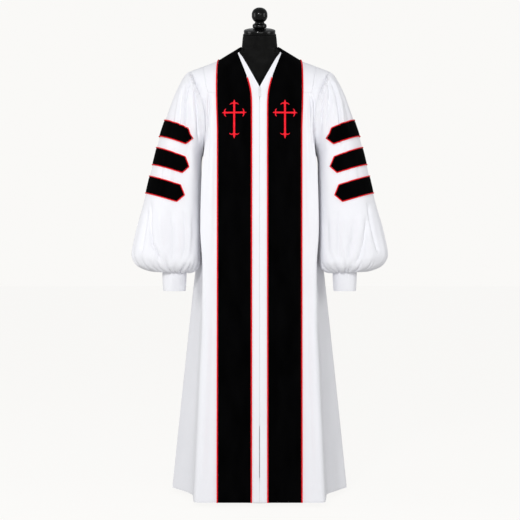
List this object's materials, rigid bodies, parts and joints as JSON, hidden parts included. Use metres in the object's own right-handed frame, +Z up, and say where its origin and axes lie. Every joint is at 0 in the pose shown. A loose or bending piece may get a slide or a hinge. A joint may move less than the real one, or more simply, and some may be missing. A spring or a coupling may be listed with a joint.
{
  "type": "clergy robe on a dress form",
  "caption": "Long white clergy robe with full sleeves, black velvet front panels and sleeve bars, red piping and crosses, zipped on a black limbless dress form with cap and finial.",
  "frame": {"origin": "centre of the base disc's underside, on the floor under the pole", "axes": "+Z up along the pole, -Y towards the front of the robe, +X to the wearer's left"},
  "size_m": [0.7814, 0.492, 1.5016],
  "materials": {
    "white_cloth": "soft matte polyester",
    "velvet": "black velvet pile",
    "red_trim": "satin cord and satin-stitch embroidery",
    "jersey": "close black jersey",
    "gloss_black": "polished black",
    "steel": "satin black",
    "zip_metal": "white lacquer"
  },
  "bodies": {
    "garment": {"front_left": "white_cloth", "front_right": "white_cloth", "front_yoke_left": "white_cloth", "front_yoke_right": "white_cloth", "back_yoke": "white_cloth", "back": "white_cloth", "sleeve_left": "white_cloth", "sleeve_right": "white_cloth", "cuff_left": "white_cloth", "cuff_right": "white_cloth", "placket_left": "white_cloth", "placket_right": "white_cloth", "velvet_panel_left": "velvet", "velvet_panel_right": "velvet", "sleeve_bar_left_1": "velvet", "sleeve_bar_left_2": "velvet", "sleeve_bar_left_3": "velvet", "sleeve_bar_right_1": "velvet", "sleeve_bar_right_2": "velvet", "sleeve_bar_right_3": "velvet", "piping_outer_left": "red_trim", "piping_outer_right": "red_trim", "piping_inner_left": "red_trim", "piping_inner_right": "red_trim", "cross_left": "red_trim", "cross_right": "red_trim", "bar_piping_left_1": "red_trim", "bar_piping_left_2": "red_trim", "bar_piping_left_3": "red_trim", "bar_piping_right_1": "red_trim", "bar_piping_right_2": "red_trim", "bar_piping_right_3": "red_trim", "form_body": "jersey", "form_cap": "gloss_black", "form_finial": "gloss_black", "form_pole": "steel", "form_base": "steel", "zip_slider": "zip_metal"},
    "pull_tab": {"zip_pull": "zip_metal"}
  },
  "joints": [
    {"name": "pull_tab_hinge", "type": "hinge", "parent": "garment", "child": "pull_tab", "pos_m": [0, -0.11317, 1.23542], "axis": [-1, 0, 0], "range_deg": [0, 130]}
  ]
}
